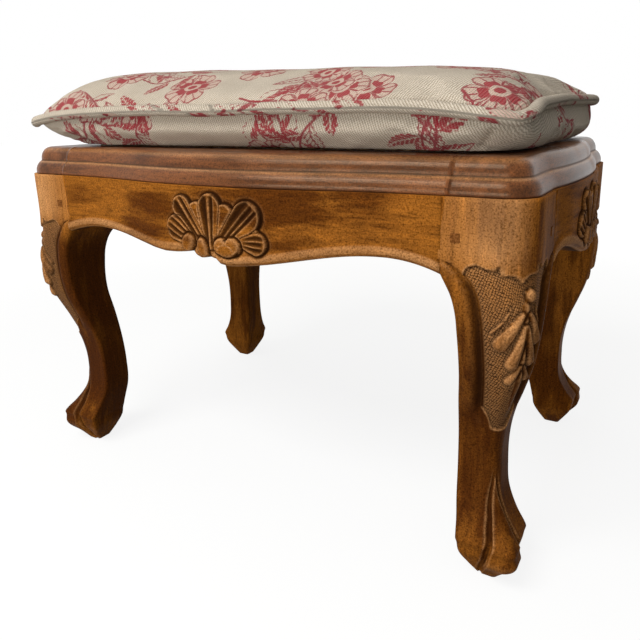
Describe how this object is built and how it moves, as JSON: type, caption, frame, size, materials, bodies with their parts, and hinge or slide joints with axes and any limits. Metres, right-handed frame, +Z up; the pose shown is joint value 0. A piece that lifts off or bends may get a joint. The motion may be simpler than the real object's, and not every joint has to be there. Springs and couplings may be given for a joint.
{
  "type": "upholstered footstool",
  "caption": "Carved cabriole-leg footstool with serpentine aprons, a moulded caned seat frame and a loose piped cushion.",
  "frame": {"origin": "on the floor, under the middle of the seat", "axes": "+X along the long front side to the right, +Y from the front to the back, +Z up"},
  "size_m": [0.473, 0.347, 0.3502],
  "materials": {
    "carved_walnut": "waxed satin walnut with dark carving recesses",
    "moulded_walnut": "waxed satin walnut, darker than the legs",
    "peg_wood": "dark end grain",
    "dowel_wood": "bare beech",
    "cane": "aged varnished cane",
    "printed_linen": "linen-coloured twill with a woven red floral",
    "cotton_cord": "twisted cotton",
    "filling": "soft filling"
  },
  "bodies": {
    "frame": {"leg_front_left": "carved_walnut", "leg_front_right": "carved_walnut", "leg_rear_left": "carved_walnut", "leg_rear_right": "carved_walnut", "apron_front": "carved_walnut", "apron_rear": "carved_walnut", "apron_left": "carved_walnut", "apron_right": "carved_walnut", "seat_rail_front": "moulded_walnut", "seat_rail_rear": "moulded_walnut", "seat_rail_left": "moulded_walnut", "seat_rail_right": "moulded_walnut", "tenon_pegs": "peg_wood", "seat_frame_dowels": "dowel_wood", "cane_seat": "cane", "cane_binder": "cane", "cane_binder_ties": "cane"},
    "cushion": {"cushion_top_cover": "printed_linen", "cushion_bottom_cover": "printed_linen", "cushion_piping": "printed_linen", "cushion_piping_cord": "cotton_cord", "cushion_insert": "filling"}
  },
  "joints": [
    {"name": "cushion_lift", "type": "slide", "parent": "frame", "child": "cushion", "axis": [0, 0, 1], "range_m": [0, 0.15]}
  ]
}
